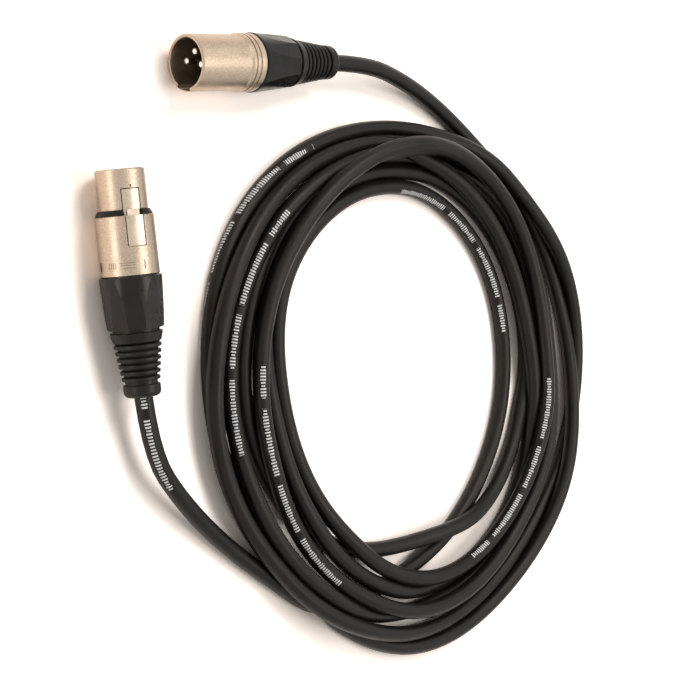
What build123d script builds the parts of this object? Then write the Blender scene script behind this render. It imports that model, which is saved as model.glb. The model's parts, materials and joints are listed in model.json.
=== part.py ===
"""Coiled microphone cable with a male and a female three-pole connector, laid flat.

Row frame: millimetres, +Z up, the table at Z = 0, and the origin under the middle of the coil's eye.
The male connector lies along X with its open face towards -X. The female one lies along Y with its
nose towards +Y. Each connector is modelled in its own frame first: depth runs along local +Z from
the mating face, and the latch side is local +Y.
"""
from build123d import *
import os
from math import atan, cos, degrees, pi, radians, sin, tan

# ---- cable and coil ---------------------------------------------------------------------------
CABLE_D = 6.1
CABLE_R = CABLE_D / 2
COIL_H = 16.0
COIL_OUTER = (108.5, 105.5)
COIL_OUTER_AT = (3.5, 0.5)
COIL_EYE = (60.0, 65.0)
COIL_EYE_AT = (-6.0, 9.0)
COIL_TOP_ROUND = 5.5
COIL_FOOT_ROUND = 2.0

# ---- where the connectors lie -----------------------------------------------------------------
MALE_FACE_X = -97.2
MALE_AXIS_Y = 123.0
MALE_ROLL = 16.0
FEMALE_FACE_Y = 89.3
FEMALE_AXIS_X = -129.0
FEMALE_ROLL = 16.0

# ---- sizes that both connectors share ---------------------------------------------------------
CONTACT_RING_R = 3.81
CONDUCTORS = ("shield", "hot", "cold")
SHELL_R = 9.5
NECK_R = SHELL_R - 1.8
NECK_BORE_R = NECK_R - 0.9
NECK_L = 8.0
NECK_WEB = 3.5
THREAD_PITCH = 1.5
THREAD_DEPTH = 0.35
RUNNING_GAP = 0.1
SEAT_GAP = 0.02
EDGE = 0.4
LIP = 0.25
CUT = 1.0
GROOVE_W = 0.6
INSERT_BACK = 6.0
CUP_L = 3.0
CUP_R = 1.5
CUP_BORE_R = 1.0
WIRE_R = 0.65
WIRE_IN_CUP = 1.4
WIRE_LAY_R = 1.35
WIRE_BEND_R = 1.0
WIRE_STRAIGHT = 0.8
JACKET_START = 1.5

# ---- male connector ---------------------------------------------------------------------------
MALE_CONTACTS = (0.0, 180.0, -90.0)
MALE_L = 28.0
MALE_BORE_R = SHELL_R - 1.2
MALE_COLLAR_R = SHELL_R + 0.45
MALE_COLLAR_L = 6.6
COLLAR_GROOVES = (1.7, 3.6)
COLLAR_GROOVE_DEPTH = 0.3
MALE_CAVITY = 13.5
PIN_R = 1.2
PIN_FOOT_R = 1.5
PIN_TIP_DEPTH = 3.1
PIN_TIP_ROUND = 0.8
PIN_SEAT = 0.8
PIN_SEAT_WALL = 0.7
KEYWAY_W = 6.4
KEYWAY_DEPTH = 0.7
KEYWAY_L = 9.0

# ---- female connector -------------------------------------------------------------------------
FEMALE_CONTACTS = (180.0, 0.0, -90.0)
FEMALE_L = 34.0
NOSE_R = 8.0
NOSE_BORE_R = NOSE_R - 1.0
NOSE_L = 12.8
NOSE_TAIL = 22.0
NOSE_TAIL_R = NOSE_R - 0.2
GAP_RING_L = 1.9
GAP_RING_FROM = NOSE_L + 0.2
GAP_RING_R = (NOSE_R + 0.4, SHELL_R - 0.15)
SOCKET_BORE_R = 1.25
SOCKET_R = 1.75
SOCKET_DEPTH = 12.0
INSERT_FACE = 0.6
PLATE_FROM_BACK = (4.8, 2.0)
PLATE_SINK = 0.15
PLATE_W = 15.0
PLATE_TURN = 130.0
DOT_R = 0.45
DOT_DEPTH = 0.6
DOT_AHEAD = 1.0

# ---- latch ------------------------------------------------------------------------------------
LATCH_W = 5.7
LATCH_GAP = 0.3
LATCH_UNDER = NOSE_BORE_R - 0.1
LATCH_NECK_W = 4.1
LATCH_NECK_R = NOSE_R + 0.45
LATCH_WEB_T = 0.9
LATCH_LAP = 0.6
LEVER_T = 0.6
TONGUE_START = 6.6
TONGUE_R = NOSE_R - 0.08
TAB_R = SHELL_R - 0.05
TAB_END = 24.5
PIVOT_DEPTH = 26.3
PIVOT_HEIGHT = LATCH_UNDER - 0.8
PIVOT_R = 0.5
PIVOT_L = 8.0
PIVOT_BOSS_R = 1.05
POCKET_FLOOR = LATCH_UNDER - 2.3
SPRING_T = 0.25
SPRING_W = 4.0
SPRING_FOLD = 16.5
SPRING_TIP = 21.5
SPRING_END = 23.0

# ---- boot: fluted nut, ribbed sleeve, collet ---------------------------------------------------
BOOT_FRONT_R = SHELL_R + 0.75
NUT_BACK_R = BOOT_FRONT_R - 0.95
NUT_L = 17.2
NUT_FACE_GAP = 0.15
FLAT_COUNT = 10
FLAT_START = 2.6
FLAT_DEEPER = 0.15
FLAT_END_R = NUT_BACK_R * cos(pi / FLAT_COUNT) - FLAT_DEEPER
FLAT_CUT = 24.0
NUT_THREAD_L = 8.8
NUT_CONE_R = (NECK_BORE_R + 0.15, NECK_BORE_R - 0.7)
NUT_CONE_END = 14.8
NUT_TAIL_R = 5.0
COLLAR_FROM = 18.2
COLLAR_L = 3.3
COLLAR_R = (8.65, 7.9)
RIB_COUNT = 6
RIB_FROM = 22.1
RIB_SHARE = 0.59
RIB_R = (7.75, 6.3)
GROOVE_DEPTH = 1.0
CAP_L = 4.2
CAP_R = 6.1
CAP_ROUND = 1.8
BOOT_L = 39.4
CAP_FROM = BOOT_L - CAP_L
RIB_PITCH = (CAP_FROM - RIB_FROM) / (RIB_COUNT + 0.17)
RIB_W = RIB_SHARE * RIB_PITCH
SLEEVE_BORE_R = CABLE_R + 0.3
COLLET_FROM = 3.0
COLLET_TO = 14.5
COLLET_SLOTS = 4
COLLET_SLOT_W = 1.0
COLLET_RIM = 3.0
COLLET_GAP = 0.2
BOOT_TURNS = 3
BOOT_TRAVEL = THREAD_PITCH * BOOT_TURNS
LEAD_IN_BOOT = 8.0

AXIS_HEIGHT = BOOT_FRONT_R
MALE_BOOT_END_X = MALE_FACE_X + MALE_L + BOOT_L
FEMALE_BOOT_END_Y = FEMALE_FACE_Y - FEMALE_L - BOOT_L

# ---- free leads: route points from each boot to the coil, chosen by hand ------------------------
MALE_LEAD = [
    (MALE_BOOT_END_X - LEAD_IN_BOOT, MALE_AXIS_Y, AXIS_HEIGHT),
    (-12.0, MALE_AXIS_Y, AXIS_HEIGHT),
    (14.0, 116.0, 6.2),
    (38.0, 104.0, 3.2),
    (59.0, 87.0, 3.1),
]
FEMALE_LEAD = [
    (FEMALE_AXIS_X, FEMALE_BOOT_END_Y + LEAD_IN_BOOT, AXIS_HEIGHT),
    (FEMALE_AXIS_X, -2.0, AXIS_HEIGHT),
    (-114.0, -23.0, 6.4),
    (-95.0, -42.0, 3.2),
    (-75.0, -59.0, 3.1),
]
ARC_SHARE = 0.45


def male_place():
    """Where the male connector's own frame sits: depth along +X, latch side towards -Y and down."""
    latch = Vector(0, -cos(radians(MALE_ROLL)), -sin(radians(MALE_ROLL)))
    depth = Vector(1, 0, 0)
    face = (MALE_FACE_X, MALE_AXIS_Y, AXIS_HEIGHT)
    return Plane(origin=face, x_dir=latch.cross(depth), z_dir=depth).location


def female_place():
    """Where the female connector's own frame sits: depth along -Y, latch up and towards -X."""
    latch = Vector(-sin(radians(FEMALE_ROLL)), 0, cos(radians(FEMALE_ROLL)))
    depth = Vector(0, -1, 0)
    face = (FEMALE_AXIS_X, FEMALE_FACE_Y, AXIS_HEIGHT)
    return Plane(origin=face, x_dir=latch.cross(depth), z_dir=depth).location


def turned(points):
    """A solid of revolution about local Z from (radius, depth) corners."""
    outline = Polyline(*[(r, 0, z) for r, z in points], close=True)
    return revolve(make_face(outline), Axis.Z, 360)


def tube(outer_r, inner_r, start, end):
    """A plain tube between two depths."""
    return turned([(inner_r, start), (outer_r, start), (outer_r, end), (inner_r, end)])


def rod(radius, start, end, x=0.0, y=0.0):
    """A solid round bar between two depths, beside the axis if asked."""
    return Pos(x, y, start) * extrude(Circle(radius), end - start)


def block(width, low_y, high_y, start, end):
    """A bar across local X, between two heights and two depths."""
    place = Pos(0, (low_y + high_y) / 2, (start + end) / 2)
    return place * Box(width, high_y - low_y, end - start)


def contact_places(angles):
    """Local X and Y of contacts 1, 2 and 3, at their angles round the axis."""
    return [
        (CONTACT_RING_R * cos(radians(a)), CONTACT_RING_R * sin(radians(a)))
        for a in angles
    ]


def pipe(points, radius, arc_radii):
    """A round bar along straight runs joined by tangent arcs."""
    path = FilletPolyline(*points, radius=arc_radii)
    section = Plane(origin=path @ 0, z_dir=path % 0) * Circle(radius)
    return sweep(section, path=path), path.length


def lead_radii(points):
    """The arc radius at each inner corner of a route: as large as its two runs allow."""
    corners = [Vector(*p) for p in points]
    radii = []
    for before, here, after in zip(corners, corners[1:], corners[2:]):
        half_turn = radians((here - before).get_angle(after - here)) / 2
        shorter = min((here - before).length, (after - here).length)
        radii.append(ARC_SHARE * shorter / tan(half_turn))
    return radii


# ---- pieces that both connectors have ----------------------------------------------------------


def threaded_neck(length):
    """The shell's rear neck with its outside thread, drawn as rings at the thread's pitch."""
    start = length - NECK_WEB
    neck = tube(NECK_R, NECK_BORE_R, start, length + NECK_L)
    ring = length + THREAD_PITCH
    while ring < length + NECK_L - THREAD_PITCH / 2:
        neck -= tube(NECK_R + CUT, NECK_R - THREAD_DEPTH, ring, ring + THREAD_PITCH / 2)
        ring += THREAD_PITCH
    return neck


def solder_cup(x, y, length):
    """The open cup behind a contact that takes its conductor."""
    start = length - INSERT_BACK
    end = start + CUP_L
    cup = rod(CUP_R, start, end, x, y)
    return cup - rod(CUP_BORE_R, end - WIRE_IN_CUP - LIP, end, x, y)


def conductor(x, y, length):
    """One conductor from the bottom of its solder cup to the cut end of the jacket."""
    cup_end = length - INSERT_BACK + CUP_L
    jacket = length + JACKET_START
    inward = WIRE_LAY_R / CONTACT_RING_R
    near = (x * inward, y * inward)
    points = [
        (x, y, cup_end - WIRE_IN_CUP),
        (x, y, cup_end + WIRE_STRAIGHT),
        (*near, jacket - WIRE_STRAIGHT),
        (*near, jacket),
    ]
    return pipe(points, WIRE_R, [WIRE_BEND_R, WIRE_BEND_R])[0]


def boot_nut(length):
    """The hard fluted nut that screws onto the shell's neck."""
    start = length + NUT_FACE_GAP
    end = length + NUT_L
    thread_end = length + NUT_THREAD_L
    cone_end = length + NUT_CONE_END
    nut = turned(
        [
            (NECK_R + RUNNING_GAP, start),
            (BOOT_FRONT_R - EDGE, start),
            (BOOT_FRONT_R, start + EDGE),
            (NUT_BACK_R, end - EDGE),
            (NUT_BACK_R - EDGE, end),
            (NUT_TAIL_R, end),
            (NUT_TAIL_R, cone_end),
            (NUT_CONE_R[1], cone_end),
            (NUT_CONE_R[0], thread_end),
            (NECK_R + RUNNING_GAP, thread_end),
        ]
    )
    start_r = BOOT_FRONT_R + (FLAT_START / NUT_L) * (NUT_BACK_R - BOOT_FRONT_R)
    run = NUT_L - FLAT_START
    lean = degrees(atan((start_r - FLAT_END_R) / run))
    cutter = Pos(0, FLAT_CUT / 2, 0) * Box(FLAT_CUT, FLAT_CUT, 4 * run)
    cutter = Pos(0, start_r, length + FLAT_START) * Rot(lean, 0, 0) * cutter
    for i in range(FLAT_COUNT):
        nut -= Rot(0, 0, (i + 0.5) * 360 / FLAT_COUNT) * cutter
    return nut


def boot_sleeve(length):
    """The soft sleeve moulded into the nut: a collar, ribs that shrink towards the cable, an end cap."""
    neck = COLLAR_R[0] - GROOVE_DEPTH
    front = NUT_CONE_END + LIP
    collar_end = COLLAR_FROM + COLLAR_L
    points = [
        (SLEEVE_BORE_R, front),
        (NUT_TAIL_R, front),
        (NUT_TAIL_R, NUT_L),
        (neck, NUT_L),
        (neck, COLLAR_FROM),
        (COLLAR_R[0] - LIP, COLLAR_FROM),
        (COLLAR_R[0], COLLAR_FROM + LIP),
        (COLLAR_R[1], collar_end - LIP),
        (COLLAR_R[1] - LIP, collar_end),
    ]
    for i in range(RIB_COUNT):
        rib_r = RIB_R[0] + (RIB_R[1] - RIB_R[0]) * i / (RIB_COUNT - 1)
        at = RIB_FROM + i * RIB_PITCH
        points += [
            (rib_r - GROOVE_DEPTH, at),
            (rib_r - LIP, at),
            (rib_r, at + LIP),
            (rib_r, at + RIB_W - LIP),
            (rib_r - LIP, at + RIB_W),
            (rib_r - GROOVE_DEPTH, at + RIB_W),
        ]
    points += [
        (RIB_R[1] - GROOVE_DEPTH, CAP_FROM),
        (CAP_R - LIP, CAP_FROM),
        (CAP_R, CAP_FROM + LIP),
        (CAP_R, BOOT_L),
        (SLEEVE_BORE_R, BOOT_L),
    ]
    sleeve = turned([(r, length + z) for r, z in points])
    end_edges = sleeve.edges().filter_by(GeomType.CIRCLE).group_by(Axis.Z)[-1]
    return fillet(end_edges.sort_by(SortBy.RADIUS)[-1], CAP_ROUND)


def collet(length):
    """The slotted clamp that the nut's cone closes on the cable's jacket."""
    start = length + COLLET_FROM
    end = length + COLLET_TO
    cone_from = length + NUT_THREAD_L
    bore = CABLE_R + RUNNING_GAP
    body = turned(
        [
            (bore, start),
            (NECK_BORE_R - RUNNING_GAP, start),
            (NECK_BORE_R - RUNNING_GAP, cone_from - COLLET_GAP),
            (NUT_CONE_R[0] - LIP, cone_from),
            (NUT_CONE_R[1] - COLLET_GAP, end),
            (bore, end),
        ]
    )
    slot = Rot(0, 0, 90) * block(COLLET_SLOT_W, -NECK_R, 0, start + COLLET_RIM, end + CUT)
    for i in range(COLLET_SLOTS):
        body -= Rot(0, 0, (i + 0.5) * 360 / COLLET_SLOTS) * slot
    return body


def cable_end(length):
    """The jacketed end of the cable inside the connector, up to where the free lead takes over."""
    return rod(CABLE_R, length + JACKET_START, length + BOOT_L - LEAD_IN_BOOT)


def shared_pieces(length, angles):
    """Nodes that the two connectors have alike, for a shell of this length and its contacts."""
    pieces = {
        "boot_nut": boot_nut(length),
        "boot_sleeve": boot_sleeve(length),
        "collet": collet(length),
        "cable_end": cable_end(length),
    }
    for name, (x, y) in zip(CONDUCTORS, contact_places(angles)):
        pieces[f"wire_{name}"] = conductor(x, y, length)
    return pieces


# ---- male connector -----------------------------------------------------------------------------


def male_shell():
    """Barrel with a collar at the back, a latch keyway inside the rim, and the threaded neck."""
    collar_from = MALE_L - MALE_COLLAR_L
    shell = turned(
        [
            (MALE_BORE_R, LIP),
            (MALE_BORE_R + LIP, 0),
            (SHELL_R - EDGE, 0),
            (SHELL_R, EDGE),
            (SHELL_R, collar_from),
            (MALE_COLLAR_R, collar_from + 2 * EDGE),
            (MALE_COLLAR_R, MALE_L - LIP),
            (MALE_COLLAR_R - LIP, MALE_L),
            (NECK_BORE_R, MALE_L),
            (NECK_BORE_R, MALE_L - NECK_WEB),
            (MALE_BORE_R, MALE_L - NECK_WEB),
        ]
    )
    floor_r = MALE_COLLAR_R - COLLAR_GROOVE_DEPTH
    for at in COLLAR_GROOVES:
        groove = collar_from + at
        shell -= tube(MALE_COLLAR_R + CUT, floor_r, groove, groove + GROOVE_W)
    shell += threaded_neck(MALE_L)
    return shell - block(KEYWAY_W, MALE_BORE_R - CUT, MALE_BORE_R + KEYWAY_DEPTH, -CUT, KEYWAY_L)


def male_insert():
    """The moulded disc that carries the pins, with a raised seat round each one."""
    back = MALE_L - INSERT_BACK
    insert = turned(
        [
            (0, MALE_CAVITY),
            (MALE_BORE_R - LIP, MALE_CAVITY),
            (MALE_BORE_R - SEAT_GAP, MALE_CAVITY + LIP),
            (MALE_BORE_R - SEAT_GAP, back),
            (0, back),
        ]
    )
    for x, y in contact_places(MALE_CONTACTS):
        insert += rod(PIN_FOOT_R + PIN_SEAT_WALL, MALE_CAVITY - PIN_SEAT, MALE_CAVITY + CUT, x, y)
        insert -= rod(PIN_FOOT_R, MALE_CAVITY - CUT, back + CUT, x, y)
    return insert


def male_pin(x, y):
    """A turned pin: domed tip, shank, thicker foot in the insert, solder cup behind."""
    foot = MALE_CAVITY - PIN_SEAT
    shank = rod(PIN_R, PIN_TIP_DEPTH, foot, x, y)
    pin = fillet(shank.edges().sort_by(Axis.Z)[0], PIN_TIP_ROUND)
    pin += rod(PIN_FOOT_R, foot, MALE_L - INSERT_BACK, x, y)
    return pin + solder_cup(x, y, MALE_L)


def male_pieces():
    """Every node of the male connector, in its own frame."""
    pieces = {"shell": male_shell(), "insert": male_insert()}
    for number, (x, y) in enumerate(contact_places(MALE_CONTACTS), start=1):
        pieces[f"pin_{number}"] = male_pin(x, y)
    return pieces | shared_pieces(MALE_L, MALE_CONTACTS)


# ---- female connector ---------------------------------------------------------------------------


def female_shell():
    """The outer shell behind the gap ring, with the latch window and a bare name plate recess."""
    front = NOSE_L + GAP_RING_L
    shell = turned(
        [
            (NOSE_TAIL_R + SEAT_GAP, front),
            (SHELL_R - EDGE, front),
            (SHELL_R, front + EDGE),
            (SHELL_R + LIP / 2, FEMALE_L - LIP),
            (SHELL_R - LIP / 2, FEMALE_L),
            (NECK_BORE_R, FEMALE_L),
            (NECK_BORE_R, FEMALE_L - NECK_WEB),
            (NOSE_TAIL_R + SEAT_GAP, FEMALE_L - NECK_WEB),
        ]
    )
    shell += threaded_neck(FEMALE_L)
    shell -= latch_slot(front - CUT, TAB_END + LATCH_GAP, LATCH_UNDER)
    plate_from, plate_to = (FEMALE_L - back for back in PLATE_FROM_BACK)
    plate = tube(SHELL_R + CUT, SHELL_R - PLATE_SINK, plate_from, plate_to)
    patch = block(PLATE_W, SHELL_R / 2, SHELL_R + CUT, plate_from - CUT, FEMALE_L)
    return shell - (plate & Rot(0, 0, PLATE_TURN - 90) * patch)


def latch_slot(start, end, low_y):
    """The room that the latch needs across the nose, the ring or the insert."""
    return block(LATCH_W + 2 * LATCH_GAP, low_y, SHELL_R + CUT, start, end)


def female_nose():
    """The metal sleeve that enters the mating shell, slotted for the latch tongue."""
    nose = turned(
        [
            (NOSE_BORE_R, 0),
            (NOSE_R - EDGE, 0),
            (NOSE_R, EDGE),
            (NOSE_R, NOSE_L),
            (NOSE_TAIL_R, NOSE_L),
            (NOSE_TAIL_R, NOSE_TAIL),
            (NOSE_BORE_R, NOSE_TAIL),
        ]
    )
    nose -= latch_slot(TONGUE_START - LATCH_GAP, NOSE_TAIL + CUT, NOSE_BORE_R - CUT)
    dot = Pos(0, NOSE_R, TONGUE_START - DOT_AHEAD) * Rot(90, 0, 0) * Cylinder(DOT_R, 2 * DOT_DEPTH)
    return nose - dot


def female_gap_ring():
    """The rubber ring that fills the step between the nose and the shell."""
    ring = turned(
        [
            (NOSE_TAIL_R + SEAT_GAP, GAP_RING_FROM),
            (GAP_RING_R[0], GAP_RING_FROM),
            (GAP_RING_R[1], NOSE_L + GAP_RING_L),
            (NOSE_TAIL_R + SEAT_GAP, NOSE_L + GAP_RING_L),
        ]
    )
    return ring - latch_slot(NOSE_L - CUT, NOSE_L + GAP_RING_L + CUT, NOSE_R - CUT)


def female_insert():
    """The moulded block with three socket holes and a pocket for the latch."""
    back = FEMALE_L - INSERT_BACK
    insert = turned(
        [
            (0, INSERT_FACE),
            (NOSE_BORE_R - SEAT_GAP, INSERT_FACE),
            (NOSE_BORE_R - SEAT_GAP, NOSE_TAIL + SEAT_GAP),
            (NOSE_TAIL_R, NOSE_TAIL + SEAT_GAP),
            (NOSE_TAIL_R, back),
            (0, back),
        ]
    )
    for x, y in contact_places(FEMALE_CONTACTS):
        insert -= rod(SOCKET_R, INSERT_FACE - CUT, back + CUT, x, y)
    insert -= latch_slot(TONGUE_START - LATCH_GAP, back + CUT, POCKET_FLOOR)
    return insert - pivot_bar(PIVOT_L, PIVOT_R)


def female_socket(x, y):
    """A turned contact: an open socket in front, a solder cup behind."""
    back = FEMALE_L - INSERT_BACK
    socket = rod(SOCKET_R, INSERT_FACE, back, x, y)
    socket -= rod(SOCKET_BORE_R, INSERT_FACE - CUT, INSERT_FACE + SOCKET_DEPTH, x, y)
    return socket + solder_cup(x, y, FEMALE_L)


def pivot_bar(length, radius):
    """A round bar on the latch's pivot line."""
    return Pos(0, PIVOT_HEIGHT, PIVOT_DEPTH) * Rot(0, 90, 0) * Cylinder(radius, length)


def female_latch():
    """The push latch: tongue in the nose, neck over the gap ring, tab in the shell, lever to its pivot."""
    ring_end = NOSE_L + GAP_RING_L
    shell_round = rod(TAB_R, 0, FEMALE_L)
    lap_end = ring_end + LATCH_LAP
    web_top = LATCH_UNDER + LATCH_WEB_T
    tongue = block(LATCH_W, LATCH_UNDER, SHELL_R, TONGUE_START, NOSE_L) & rod(TONGUE_R, 0, NOSE_L)
    web = block(LATCH_W, LATCH_UNDER, web_top, NOSE_L - LATCH_LAP, lap_end) & rod(NOSE_TAIL_R, 0, FEMALE_L)
    neck = block(LATCH_NECK_W, LATCH_UNDER, LATCH_NECK_R, GAP_RING_FROM, lap_end)
    tab = block(LATCH_W, LATCH_UNDER, SHELL_R + CUT, ring_end + LATCH_GAP, TAB_END) & shell_round
    lever_low = PIVOT_HEIGHT - LEVER_T
    lever = block(LATCH_W, lever_low, LATCH_UNDER + SPRING_T, TAB_END - CUT, PIVOT_DEPTH)
    boss = pivot_bar(LATCH_W, PIVOT_BOSS_R)
    latch = tongue + web + neck + tab + lever + boss
    return latch - pivot_bar(LATCH_W + CUT, PIVOT_R + RUNNING_GAP / 2)


def female_latch_spring():
    """A folded leaf spring between the pocket's floor and the tab's underside."""
    floor = POCKET_FLOOR
    top = POCKET_FLOOR + SPRING_T
    tip = LATCH_UNDER - LATCH_GAP / 2
    outline = Polyline(
        (0, floor, SPRING_END),
        (0, floor, SPRING_FOLD),
        (0, top, SPRING_FOLD - SPRING_T / 2),
        (0, tip, SPRING_TIP),
        (0, tip - SPRING_T, SPRING_TIP + SPRING_T / 2),
        (0, top, SPRING_FOLD + 4 * SPRING_T),
        (0, top, SPRING_END),
        close=True,
    )
    return extrude(make_face(outline), SPRING_W / 2, dir=(1, 0, 0), both=True)


def female_pieces():
    """Every node of the female connector, in its own frame."""
    pieces = {
        "shell": female_shell(),
        "nose": female_nose(),
        "gap_ring": female_gap_ring(),
        "insert": female_insert(),
        "latch": female_latch(),
        "latch_spring": female_latch_spring(),
        "latch_pivot": pivot_bar(PIVOT_L, PIVOT_R),
    }
    for number, (x, y) in enumerate(contact_places(FEMALE_CONTACTS), start=1):
        pieces[f"socket_{number}"] = female_socket(x, y)
    return pieces | shared_pieces(FEMALE_L, FEMALE_CONTACTS)


# ---- cable ---------------------------------------------------------------------------------------


def coil():
    """The outer shape of the coiled turns: a low ring with rounded edges and a wide eye."""
    outer = Pos(*COIL_OUTER_AT) * Ellipse(*COIL_OUTER)
    eye = Pos(*COIL_EYE_AT) * Ellipse(*COIL_EYE)
    ring = extrude(outer - eye, COIL_H)
    rings = ring.edges().group_by(Axis.Z)
    ring = fillet(rings[-1], COIL_TOP_ROUND)
    return fillet(ring.edges().group_by(Axis.Z)[0], COIL_FOOT_ROUND)


def lead(name, points):
    """One free lead as a plain tube, with its size printed for checking."""
    radii = lead_radii(points)
    body, length = pipe(points, CABLE_R, radii)
    expected = pi * CABLE_R**2 * length
    print(name, "length", round(length, 1), "radii", [round(r, 1) for r in radii])
    print(name, "volume", round(body.volume, 1), "section x length", round(expected, 1))
    return body


def main():
    """Builds every node and writes one STEP file for each."""
    nodes = {"coil": coil()}
    nodes["male_lead"] = lead("male_lead", MALE_LEAD)
    nodes["female_lead"] = lead("female_lead", FEMALE_LEAD)
    for prefix, place, pieces in (
        ("male", male_place(), male_pieces()),
        ("female", female_place(), female_pieces()),
    ):
        for name, piece in pieces.items():
            nodes[f"{prefix}_{name}"] = piece.moved(place)
    os.makedirs("parts", exist_ok=True)
    for name, shape in nodes.items():
        export_step(shape, f"parts/{name}.step")
    print("nodes", len(nodes), "boot travel", BOOT_TRAVEL)


main()
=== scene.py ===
import json
from math import cos, pi, radians, sin

import bpy
import numpy as np
from mathutils import Matrix, Vector


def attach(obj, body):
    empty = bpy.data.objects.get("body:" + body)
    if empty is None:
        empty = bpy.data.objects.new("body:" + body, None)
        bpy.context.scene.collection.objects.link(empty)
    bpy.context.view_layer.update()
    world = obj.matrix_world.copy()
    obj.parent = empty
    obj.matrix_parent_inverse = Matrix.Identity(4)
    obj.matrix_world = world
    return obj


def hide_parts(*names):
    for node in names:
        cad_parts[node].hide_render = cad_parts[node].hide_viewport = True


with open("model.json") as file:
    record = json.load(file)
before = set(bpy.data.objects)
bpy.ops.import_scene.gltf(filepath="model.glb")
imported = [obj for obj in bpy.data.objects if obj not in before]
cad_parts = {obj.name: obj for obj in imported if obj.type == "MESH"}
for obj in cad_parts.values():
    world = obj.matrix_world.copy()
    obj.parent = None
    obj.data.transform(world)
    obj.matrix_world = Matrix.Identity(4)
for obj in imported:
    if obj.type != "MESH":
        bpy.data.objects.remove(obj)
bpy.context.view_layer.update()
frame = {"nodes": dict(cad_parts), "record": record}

nodes = frame["nodes"]
scene = bpy.context.scene

# ---- camera: looks down at the coil from the -X side, rolled so that +Y is up ---------------------
IMAGE = 700
FOCAL_PIXELS = 1560
SENSOR = 36.0
CAMERA_AT = Vector((-0.4341, 0.0713, 0.4147))
CAMERA_AIM = Vector((-0.0289, 0.0179, 0.0060))
CAMERA_UP = Vector((0.1305, 0.9914, 0.0))


def make_camera():
    """The scene's camera: it looks at CAMERA_AIM, with CAMERA_UP upwards in its view."""
    data = bpy.data.cameras.new("camera")
    data.lens = FOCAL_PIXELS * SENSOR / IMAGE
    data.sensor_width = SENSOR
    data.clip_start = 0.01
    data.clip_end = 20
    obj = bpy.data.objects.new("camera", data)
    scene.collection.objects.link(obj)
    back = (CAMERA_AT - CAMERA_AIM).normalized()
    right = CAMERA_UP.cross(back).normalized()
    up = back.cross(right)
    turn = Matrix((right, up, back)).transposed().to_4x4()
    obj.matrix_world = Matrix.Translation(CAMERA_AT) @ turn
    scene.camera = obj


make_camera()

# ---- cable ----------------------------------------------------------------------------------------
CABLE_D = 0.0061
CABLE_SIDES = 20
LINE_STEPS = 6
MALE_LEAD = [
    (-0.0378, 0.123, 0.01025),
    (-0.012, 0.123, 0.01025),
    (0.014, 0.116, 0.0062),
    (0.038, 0.104, 0.0032),
    (0.059, 0.087, 0.0031),
]
FEMALE_LEAD = [
    (-0.129, 0.0239, 0.01025),
    (-0.129, -0.002, 0.01025),
    (-0.114, -0.023, 0.0064),
    (-0.095, -0.042, 0.0032),
    (-0.075, -0.059, 0.0031),
]

# The coil's turns, from the male lead inwards and round clockwise. Each row is one turn: its distance
# from the eye's middle, in millimetres, every eighth of a turn from FIRST_STATION.
FIRST_STATION = 45.0
STATION = 45.0
LANES = [
    (105, 105, 103.5, 102.5, 88, 94.5, 101.5, 99),
    (101.5, 110.5, 100, 96, 92.5, 98, 97.5, 92),
    (80.5, 74.5, 83, 79, 72.5, 68, 80, 85),
    (82.5, 77.5, 68, 60, 70, 79.8, 84, 87),
    (93, 84.5, 89, 87, 87.9, 89, 90, 90),
    (98.5, 91, 87, 87.5, 80, 76.9, 82, 91.5),
    (91, 79.5, 79.5, 76, 64, 62.5, 75, 78.5),
    (72, 62.5, 60, 69.5, 94),
]
# How many strands high each of those places starts, before the turns settle under their weight. Each
# strand raises the next by LEVEL_RISE diameters.
LEVELS = [
    (0, 0, 1, 0.6, 1, 0, 0, 0),
    (1, 0, 0, 0.5, 2, 1.2, 0.5, 0),
    (1, 1, 0, 0, 1, 0.5, 0, 0),
    (0, 0, 0, 0.8, 0, 0, 0, 0),
    (0, 0, 0, 0, 1, 0.6, 0.8, 1),
    (0.5, 0, 1, 1, 1.6, 1.2, 1.2, 2),
    (2, 1.5, 1.3, 1.2, 1.2, 0.3, 0, 0),
    (0, 0, 0, 0, 0),
]
LEVEL_RISE = 0.92


def along_rows(rows, place):
    """The value at a place, counted in stations, on a smooth line through the rows' numbers."""
    flat = [value for row in rows for value in row]
    here = min(int(place), len(flat) - 2)
    part = place - here
    a, b, c, d = (flat[min(max(here + k, 0), len(flat) - 1)] for k in (-1, 0, 1, 2))
    bend = (2 * a - 5 * b + 4 * c - d) * part + (3 * b - a - 3 * c + d) * part * part
    return b + 0.5 * part * (c - a + bend)


def coil_turns():
    """Points along the coil's turns, about one diameter apart, each at its lane and starting level."""
    stations = sum(len(row) for row in LANES) - 1
    points = []
    place = 0.0
    while place <= stations:
        angle = radians(FIRST_STATION - STATION * place)
        reach = along_rows(LANES, place) / 1000
        high = (0.5 + LEVEL_RISE * max(along_rows(LEVELS, place), 0)) * CABLE_D
        points.append((reach * cos(angle), reach * sin(angle), high))
        place += CABLE_D / (reach * radians(STATION))
    return np.array(points)


def stepped(points, spacing):
    """The same line as straight steps of equal length."""
    points = np.array(points, float)
    run = np.r_[0, np.cumsum(np.linalg.norm(np.diff(points, axis=0), axis=1))]
    marks = np.linspace(0, run[-1], round(run[-1] / spacing) + 1)
    return np.stack([np.interp(marks, run, points[:, k]) for k in range(3)], axis=1)


# How the turns settle. Lengths are in cable diameters, and a speed is a length per round.
ROUNDS = 500
PAIR_ROUNDS = 12
PAIR_REACH = 2.0
PAIR_APART = 5
SPEED_KEPT = 0.9
FALL = 0.008
TOP_SPEED = 0.16
PASSES = 3
BEND_EASE = 0.45
LANE_PULL = 0.96
SLIP_REACH = 0.55


def close_pairs(points):
    """Index pairs of points that are near each other and not neighbours along the cable."""
    gap = np.linalg.norm(points[:, None] - points[None], axis=2)
    return np.nonzero(np.triu(gap < PAIR_REACH, PAIR_APART))


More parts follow.
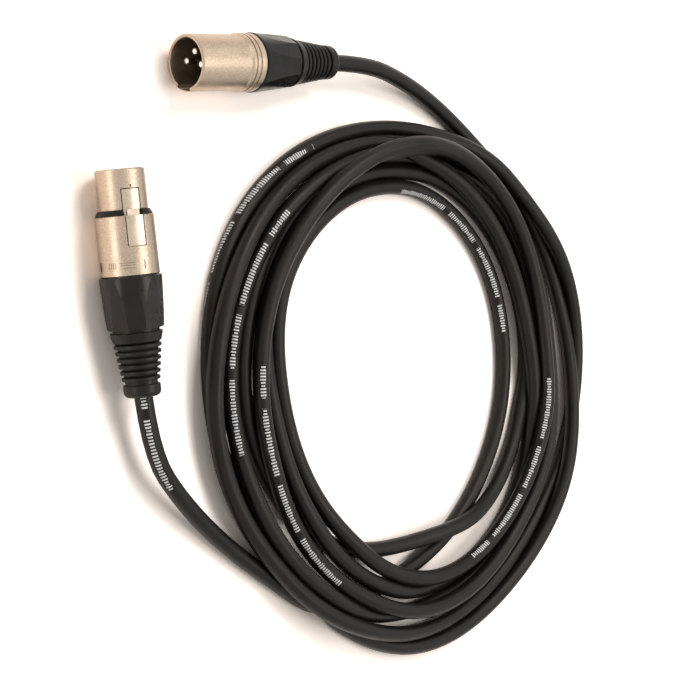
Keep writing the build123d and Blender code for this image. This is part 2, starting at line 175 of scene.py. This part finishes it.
def settle(turns, before, after):
    """The turns after they have dropped onto the floor and onto each other; the leads hold still."""
    start, end = len(before), len(before) + len(turns)
    points = np.vstack([before, turns, after]) / CABLE_D
    free = np.zeros(len(points), bool)
    free[start:end] = True
    lane = points[:, :2].copy()
    speed = np.zeros_like(points)
    for step in range(ROUNDS):
        if step % PAIR_ROUNDS == 0:
            first, second = close_pairs(points)
        old = points.copy()
        speed *= SPEED_KEPT
        speed[:, 2] -= FALL
        points[free] += speed[free]
        for _ in range(PASSES):
            middle = (points[:-2] + points[2:]) / 2 - points[1:-1]
            points[1:-1, 2] += np.where(free[1:-1], BEND_EASE * middle[:, 2], 0)
            drift = points[:, :2] - lane
            smooth = drift.copy()
            smooth[1:-1] += BEND_EASE * ((drift[:-2] + drift[2:]) / 2 - drift[1:-1])
            points[free, :2] = (lane + LANE_PULL * smooth)[free]
            way = np.gradient(points, axis=0)
            way /= np.linalg.norm(way, axis=1)[:, None]
            gap = points[second] - points[first]
            slip = (gap * way[first]).sum(1)
            gap -= slip[:, None] * way[first]
            far = np.linalg.norm(gap, axis=1)
            touch = (far < 1) & (abs(slip) < SLIP_REACH)
            push = gap[touch] * (0.5 * (1 - far[touch]) / np.maximum(far[touch], 1e-6))[:, None]
            move = np.zeros_like(points)
            count = np.zeros(len(points))
            for index, sign in ((second[touch], 1), (first[touch], -1)):
                np.add.at(move, index, sign * push)
                np.add.at(count, index, 1)
            points[free] += (move / np.maximum(count, 1)[:, None])[free]
            points[:, 2] = np.maximum(points[:, 2], 0.5)
        speed = points - old
        points[~free] = old[~free]
        pace = np.linalg.norm(speed, axis=1)[:, None]
        speed *= np.minimum(1, TOP_SPEED / np.maximum(pace, 1e-9))
    return points[start:end] * CABLE_D


def spline_curve(name, points, resolution):
    """A curve object with one open NURBS spline that has these control points."""
    data = bpy.data.curves.new(name, "CURVE")
    data.dimensions = "3D"
    spline = data.splines.new("NURBS")
    spline.points.add(len(points) - 1)
    for point, place in zip(spline.points, points):
        point.co = (*place, 1)
    spline.order_u = 3
    spline.use_endpoint_u = True
    spline.resolution_u = resolution
    obj = bpy.data.objects.new(name, data)
    scene.collection.objects.link(obj)
    return obj


def line_of(curve):
    """Points along a curve's own line, and removes the curve."""
    data = bpy.data.meshes.new_from_object(curve)
    line = np.array([v.co for v in data.vertices])
    bpy.data.meshes.remove(data)
    bpy.data.objects.remove(curve)
    return line


def carried_frames(line):
    """Unit side and top directions at each point, carried along without twisting."""
    way = np.gradient(line, axis=0)
    way /= np.linalg.norm(way, axis=1)[:, None]
    top = np.array((0.0, 0.0, 1.0))
    tops = []
    for direction in way:
        top = top - top.dot(direction) * direction
        top = top / np.linalg.norm(top)
        tops.append(top)
    tops = np.array(tops)
    return np.cross(way, tops), tops


# The lines of print: where each starts along the cable, and how many degrees the print is
# turned from the side direction at its start and at its end.
PRINT_LINES = [
    (0.543, 245, 92),
    (2.682, 120, 114),
    (3.177, 126, 118),
    (3.529, 54, 48),
    (3.871, 44, 54),
    (4.217, 136, 128),
]
PRINT_L = 0.091
# How far past a line's ends the run is still counted, so that no line is cut short.
PRINT_MARGIN = 0.004


def print_turn(run):
    """How far the printed side of the jacket is turned from the side direction, along the cable."""
    places = [place for start, _, _ in PRINT_LINES for place in (start, start + PRINT_L)]
    turns = [turn for _, first, last in PRINT_LINES for turn in (first, last)]
    return np.radians(np.interp(run, places, turns))


def since_print(run):
    """Run since a line of print started, and -1 well clear of every line."""
    since = np.full(len(run), -1.0)
    for start, _, _ in PRINT_LINES:
        inside = (run > start - PRINT_MARGIN) & (run < start + PRINT_L + PRINT_MARGIN)
        since[inside] = run[inside] - start
    return since


def tube(name, line, radius, sides):
    """A smooth tube along a line; it stores where each of its points lies along the cable and its print."""
    side, top = carried_frames(line)
    run = np.r_[0, np.cumsum(np.linalg.norm(np.diff(line, axis=0), axis=1))]
    angles = np.arange(sides) * 2 * pi / sides
    ring = np.cos(angles)[None, :, None] * side[:, None] + np.sin(angles)[None, :, None] * top[:, None]
    points = line[:, None] + radius * ring
    count = len(line)
    corner = np.arange(count * sides).reshape(count, sides)
    beside = np.roll(corner, -1, axis=1)
    faces = np.stack([corner[:-1], beside[:-1], beside[1:], corner[1:]], axis=-1).reshape(-1, 4).tolist()
    faces += [corner[0, ::-1].tolist(), corner[-1].tolist()]
    data = bpy.data.meshes.new(name)
    data.from_pydata(points.reshape(-1, 3).tolist(), [], faces)
    data.update()
    for polygon in data.polygons:
        polygon.use_smooth = len(polygon.vertices) == 4
    around = angles[None] - print_turn(run)[:, None]
    stored = {
        "run": np.repeat(run, sides),
        "since": np.repeat(since_print(run), sides),
        "round_x": np.cos(around),
        "round_y": np.sin(around),
    }
    for label, values in stored.items():
        layer = data.attributes.new(label, "FLOAT", "POINT")
        layer.data.foreach_set("value", np.ravel(values).astype(np.float32))
    obj = bpy.data.objects.new(name, data)
    scene.collection.objects.link(obj)
    return obj


def make_cable():
    """The whole free cable: the male lead, the settled turns and the female lead, on one spline."""
    before = stepped(MALE_LEAD, CABLE_D)[:-1]
    after = stepped(FEMALE_LEAD[::-1], CABLE_D)[1:]
    turns = settle(coil_turns(), before, after)
    route = [*MALE_LEAD, *turns[1:-1:2].tolist(), *FEMALE_LEAD[::-1]]
    line = line_of(spline_curve("route", route, LINE_STEPS))
    obj = tube("cable", line, CABLE_D / 2, CABLE_SIDES)
    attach(obj, "cable")
    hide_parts("male_lead", "coil", "female_lead")
    return obj


cable = make_cable()

# ---- materials ------------------------------------------------------------------------------------
# The sockets of a Mix node that mixes colours.
MIX_FIRST = 6
MIX_SECOND = 7
MIX_RESULT = 2


class Shader:
    """A small helper that builds one node material around a Principled shader."""

    def __init__(self, name, color, roughness, metallic=0.0, **sockets):
        self.material = bpy.data.materials.new(name)
        self.material.use_nodes = True
        self.tree = self.material.node_tree
        self.main = self.tree.nodes["Principled BSDF"]
        self.main.inputs["Base Color"].default_value = (*color, 1)
        self.main.inputs["Roughness"].default_value = roughness
        self.main.inputs["Metallic"].default_value = metallic
        for label, value in sockets.items():
            self.main.inputs[label.replace("_", " ")].default_value = value
        self.bumped = None

    def node(self, kind, **settings):
        made = self.tree.nodes.new("ShaderNode" + kind)
        for label, value in settings.items():
            setattr(made, label, value)
        return made

    def link(self, source, target):
        self.tree.links.new(source, target)

    def coordinates(self):
        return self.node("TexCoord").outputs["Object"]

    def noise(self, scale, detail, rough, stretch=None):
        """Noise in the row frame; scale is in features per metre."""
        made = self.node("TexNoise")
        made.inputs["Scale"].default_value = scale
        made.inputs["Detail"].default_value = detail
        made.inputs["Roughness"].default_value = rough
        source = self.coordinates()
        if stretch:
            mapping = self.node("Mapping")
            mapping.inputs["Scale"].default_value = stretch
            self.link(source, mapping.inputs["Vector"])
            source = mapping.outputs["Vector"]
        self.link(source, made.inputs["Vector"])
        return made.outputs["Fac"]

    def between(self, fac, low, high, from_low=0.3, from_high=0.7):
        """Maps a factor to a range of numbers."""
        made = self.node("MapRange")
        made.inputs["From Min"].default_value = from_low
        made.inputs["From Max"].default_value = from_high
        made.inputs["To Min"].default_value = low
        made.inputs["To Max"].default_value = high
        self.link(fac, made.inputs["Value"])
        return made.outputs["Result"]

    def mix(self, fac, first, second):
        """Mixes two colours, each a colour or another node's output."""
        made = self.node("Mix", data_type="RGBA")
        self.link(fac, made.inputs["Factor"])
        for index, value in ((MIX_FIRST, first), (MIX_SECOND, second)):
            if isinstance(value, tuple):
                made.inputs[index].default_value = (*value, 1)
            else:
                self.link(value, made.inputs[index])
        return made.outputs[MIX_RESULT]

    def math(self, operation, *values):
        """One math node; each value is a number or another node's output."""
        made = self.node("Math", operation=operation)
        for index, value in enumerate(values):
            if isinstance(value, (int, float)):
                made.inputs[index].default_value = value
            else:
                self.link(value, made.inputs[index])
        return made.outputs["Value"]

    def bump(self, height, distance, strength):
        """Adds a bump of this depth, in metres, on top of any bump before it."""
        made = self.node("Bump")
        made.inputs["Strength"].default_value = strength
        made.inputs["Distance"].default_value = distance
        self.link(height, made.inputs["Height"])
        if self.bumped:
            self.link(self.bumped, made.inputs["Normal"])
        self.bumped = made.outputs["Normal"]
        self.link(self.bumped, self.main.inputs["Normal"])

    def color(self, source):
        self.link(source, self.main.inputs["Base Color"])

    def roughness(self, source):
        self.link(source, self.main.inputs["Roughness"])


# The female shell's recessed panel: the shell's axis in X and Z, and where the panel's plain lines and
# ticks lie, along the shell in Y and round it from +X towards +Z.
SHELL_AXIS = (FEMALE_LEAD[0][0], FEMALE_LEAD[0][2])
PANEL_LINES = ((0.05775, 0.05795), (0.0587, 0.0589), (0.05945, 0.05965))
PANEL_LINE_TURN = (radians(114), radians(146))
PANEL_TICKS = (0.0578, 0.0597)
PANEL_TICK_TURN = (radians(152), radians(172))
PANEL_TICKS_A_RADIAN = 12
PANEL_DARK = 0.35
PANEL_STRENGTH = 0.75


def panel_marks(made):
    """One on the plain lines and ticks that stand in the female shell's panel."""
    apart = made.node("SeparateXYZ")
    made.link(made.coordinates(), apart.inputs["Vector"])
    across, along, high = (apart.outputs[axis] for axis in "XYZ")
    across = made.math("SUBTRACT", across, SHELL_AXIS[0])
    high = made.math("SUBTRACT", high, SHELL_AXIS[1])
    turn = made.math("ARCTAN2", high, across)

    def inside(value, limits):
        above = made.math("GREATER_THAN", value, limits[0])
        return made.math("MULTIPLY", above, made.math("LESS_THAN", value, limits[1]))

    lines = made.math("ADD", inside(along, PANEL_LINES[0]), inside(along, PANEL_LINES[1]))
    lines = made.math("ADD", lines, inside(along, PANEL_LINES[2]))
    lines = made.math("MULTIPLY", lines, inside(turn, PANEL_LINE_TURN))
    ticks = made.math("FRACT", made.math("MULTIPLY", turn, PANEL_TICKS_A_RADIAN))
    ticks = made.math("LESS_THAN", ticks, 0.5)
    ticks = made.math("MULTIPLY", ticks, inside(along, PANEL_TICKS))
    ticks = made.math("MULTIPLY", ticks, inside(turn, PANEL_TICK_TURN))
    return made.math("ADD", lines, ticks)


def nickel(name, tint, rough, contrast, pits=0.00003, marked=False):
    """Satin nickel: a sandy blasted grain, lighter and darker, that breaks up the highlights."""
    made = Shader(name, tint, rough, 1.0)
    sand = made.noise(2400, 4, 0.75)
    broad = made.noise(180, 3, 0.6)
    dark = tuple(value * (1 - contrast) for value in tint)
    light = tuple(min(value * (1 + contrast), 1) for value in tint)
    color = made.mix(made.between(sand, 0, 1, 0.38, 0.62), dark, light)
    if marked:
        marks = made.math("MULTIPLY", panel_marks(made), PANEL_STRENGTH)
        color = made.mix(marks, color, tuple(value * PANEL_DARK for value in tint))
    made.color(color)
    made.roughness(made.between(broad, rough - 0.05, rough + 0.07))
    made.bump(sand, pits, 0.7)
    return made.material


# Black rubber and plastic shine a little brown, and are lighter by this share where they are rubbed.
WARM = (1.0, 0.92, 0.84, 1)
RUBBED = 0.35


def moulded(name, tint, rough, grain=2600, depth=0.00002, shine=0.2):
    """A moulded plastic or rubber with a faint grain and slightly rubbed high spots."""
    made = Shader(name, tint, rough, Specular_IOR_Level=shine, Specular_Tint=WARM)
    fine = made.noise(grain, 3, 0.55)
    broad = made.noise(170, 3, 0.55)
    lighter = tuple(value * (1 + RUBBED) + 0.002 for value in tint)
    made.color(made.mix(made.between(broad, 0, 1), tint, lighter))
    made.roughness(made.between(broad, rough - 0.06, rough + 0.08))
    made.bump(fine, depth, 0.6)
    return made.material


# In a line of print: the length of one tick and its gap, the tick's share of that, how far ticks reach
# to each side in cable radii, and where the four groups start and end.
PRINT_TICK = 0.00108
TICK_SHARE = 0.52
TICK_REACH = (0.2, 0.33)
PRINT_GROUPS = ((0.0, 0.026), (0.0295, 0.0485), (0.052, 0.076), (0.0795, PRINT_L))
INK = (0.85, 0.84, 0.8)


def print_marks(made):
    """One where the jacket's plain white ticks are: four groups of them in each line of print."""
    run = made.node("Attribute", attribute_name="run").outputs["Fac"]
    since = made.node("Attribute", attribute_name="since").outputs["Fac"]
    across = made.node("Attribute", attribute_name="round_y").outputs["Fac"]
    front = made.node("Attribute", attribute_name="round_x").outputs["Fac"]
    inked = None
    for start, end in PRINT_GROUPS:
        inside = made.math("GREATER_THAN", since, start)
        inside = made.math("MULTIPLY", inside, made.math("LESS_THAN", since, end))
        inked = inside if inked is None else made.math("ADD", inked, inside)
    ticks = made.math("DIVIDE", run, PRINT_TICK)
    tick = made.math("LESS_THAN", made.math("FRACT", ticks), TICK_SHARE)
    each = made.node("TexWhiteNoise", noise_dimensions="1D")
    made.link(made.math("FLOOR", ticks), each.inputs["W"])
    reach = made.between(each.outputs["Value"], *TICK_REACH, 0, 0.6)
    band = made.math("LESS_THAN", made.math("ABSOLUTE", across), reach)
    band = made.math("MULTIPLY", band, made.math("GREATER_THAN", front, 0))
    worn = made.between(made.noise(2400, 3, 0.7), 0.4, 1, 0.36, 0.5)
    band = made.math("MULTIPLY", band, worn)
    return made.math("MULTIPLY", made.math("MULTIPLY", tick, inked), band)


def jacket():
    """The cable's matt black rubber jacket, with groups of small plain white ticks."""
    tint = (0.0048, 0.004, 0.0032)
    rubbed = (0.009, 0.0077, 0.0064)
    made = Shader("cable_jacket", tint, 0.42, Specular_IOR_Level=0.23, Specular_Tint=WARM)
    fine = made.noise(2600, 4, 0.7)
    broad = made.noise(90, 3, 0.6)
    rubber = made.mix(made.between(broad, 0, 1), tint, rubbed)
    made.color(made.mix(print_marks(made), rubber, INK))
    made.roughness(made.between(broad, 0.35, 0.48))
    made.bump(fine, 0.00005, 0.8)
    made.bump(broad, 0.0002, 0.4)
    return made.material


def copper():
    """Twisted bare copper strands."""
    made = Shader("wire_copper", (0.72, 0.36, 0.2), 0.3, 1.0)
    made.bump(made.noise(900, 2, 0.5, (1, 1, 4)), 0.0002, 0.8)
    return made.material


NICKEL = (0.45, 0.35, 0.262)
materials = {
    "shell_nickel": nickel("shell_nickel", NICKEL, 0.38, contrast=0.2, marked=True),
    "latch_metal": nickel("latch_metal", (0.52, 0.42, 0.32), 0.33, contrast=0.12),
    "contact_metal": nickel("contact_metal", (0.8, 0.77, 0.7), 0.16, contrast=0.05, pits=0.00001),
    "spring_steel": nickel("spring_steel", (0.55, 0.55, 0.55), 0.25, contrast=0.1),
    "insert_black": moulded("insert_black", (0.006, 0.0058, 0.0055), 0.5),
    "boot_hard": moulded("boot_hard", (0.005, 0.0049, 0.0048), 0.26, 1500, 0.00001, shine=0.27),
    "boot_soft": moulded("boot_soft", (0.0055, 0.0053, 0.005), 0.4, 1800, 0.00004, shine=0.24),
    "ring_rubber": moulded("ring_rubber", (0.004, 0.004, 0.004), 0.45),
    "collet_plastic": moulded("collet_plastic", (0.6, 0.59, 0.55), 0.45),
    "wire_red": moulded("wire_red", (0.42, 0.02, 0.02), 0.4),
    "wire_white": moulded("wire_white", (0.75, 0.75, 0.73), 0.4),
    "wire_copper": copper(),
    "cable_jacket": jacket(),
}
for part in frame["record"]["subparts"]:
    data = nodes[part["node"]].data
    data.materials.clear()
    data.materials.append(materials[part["material_slot"]])
cable.data.materials.append(materials["cable_jacket"])

# ---- floor, world and lamps -----------------------------------------------------------------------
FLOOR_HALF = 0.5
FLOOR_LIT = (0.8, 0.8, 0.8, 1)
FLOOR_SEEN = (1.6, 1.45, 1.33, 1)
WORLD_LIT = 0.35
WORLD_SEEN = 1.0
# Each lamp's place, the point it looks at, its two sizes, and its power in watts.
LAMPS = {
    "back": ((0.12, 0.72, 0.9), (0, 0.02, 0), (0.45, 0.45), 5.6),
    "overhead": ((0.3, -0.07, 0.95), (-0.08, 0.08, 0), (0.7, 0.44), 4.0),
    "side": ((-1.15, 0.07, 0.1), (-0.13, 0.07, 0.01), (0.7, 0.16), 2.4),
}


def add_camera_rays(shader_tree):
    """A factor that is 1 for camera, glossy and transmission rays."""
    path = shader_tree.nodes.new("ShaderNodeLightPath")
    most = path.outputs["Is Camera Ray"]
    for label in ("Is Glossy Ray", "Is Transmission Ray"):
        larger = shader_tree.nodes.new("ShaderNodeMath")
        larger.operation = "MAXIMUM"
        shader_tree.links.new(most, larger.inputs[0])
        shader_tree.links.new(path.outputs[label], larger.inputs[1])
        most = larger.outputs["Value"]
    return most


def make_floor():
    """A wide white floor that keeps a soft, slightly warm shadow."""
    corners = [(FLOOR_HALF * x, FLOOR_HALF * y, 0) for x, y in ((-1, -1), (1, -1), (1, 1), (-1, 1))]
    data = bpy.data.meshes.new("floor")
    data.from_pydata(corners, [], [(0, 1, 2, 3)])
    floor_object = bpy.data.objects.new("floor", data)
    scene.collection.objects.link(floor_object)
    material = bpy.data.materials.new("floor")
    material.use_nodes = True
    tree = material.node_tree
    tree.nodes.clear()
    seen = add_camera_rays(tree)
    mix = tree.nodes.new("ShaderNodeMix")
    mix.data_type = "RGBA"
    tree.links.new(seen, mix.inputs["Factor"])
    mix.inputs[MIX_FIRST].default_value = FLOOR_LIT
    mix.inputs[MIX_SECOND].default_value = FLOOR_SEEN
    surface = tree.nodes.new("ShaderNodeBsdfDiffuse")
    tree.links.new(mix.outputs[MIX_RESULT], surface.inputs["Color"])
    output = tree.nodes.new("ShaderNodeOutputMaterial")
    tree.links.new(surface.outputs["BSDF"], output.inputs["Surface"])
    data.materials.append(material)


def make_world():
    """An even pale world, white where it is seen directly or in a reflection."""
    world = bpy.data.worlds.new("world")
    scene.world = world
    world.use_nodes = True
    tree = world.node_tree
    background = tree.nodes["Background"]
    background.inputs["Color"].default_value = (1, 1, 1, 1)
    seen = add_camera_rays(tree)
    strength = tree.nodes.new("ShaderNodeMapRange")
    strength.inputs["To Min"].default_value = WORLD_LIT
    strength.inputs["To Max"].default_value = WORLD_SEEN
    tree.links.new(seen, strength.inputs["Value"])
    tree.links.new(strength.outputs["Result"], background.inputs["Strength"])


def add_lamp(name, place, aim, size, power):
    """A rectangular area lamp that looks at a point."""
    data = bpy.data.lights.new(name, "AREA")
    data.shape = "RECTANGLE"
    data.size, data.size_y = size
    data.energy = power
    obj = bpy.data.objects.new(name, data)
    scene.collection.objects.link(obj)
    obj.location = place
    obj.rotation_euler = (Vector(aim) - Vector(place)).to_track_quat("-Z", "Y").to_euler()


make_floor()
make_world()
for lamp, (place, aim, size, power) in LAMPS.items():
    add_lamp(lamp, place, aim, size, power)

scene.view_settings.view_transform = "Standard"
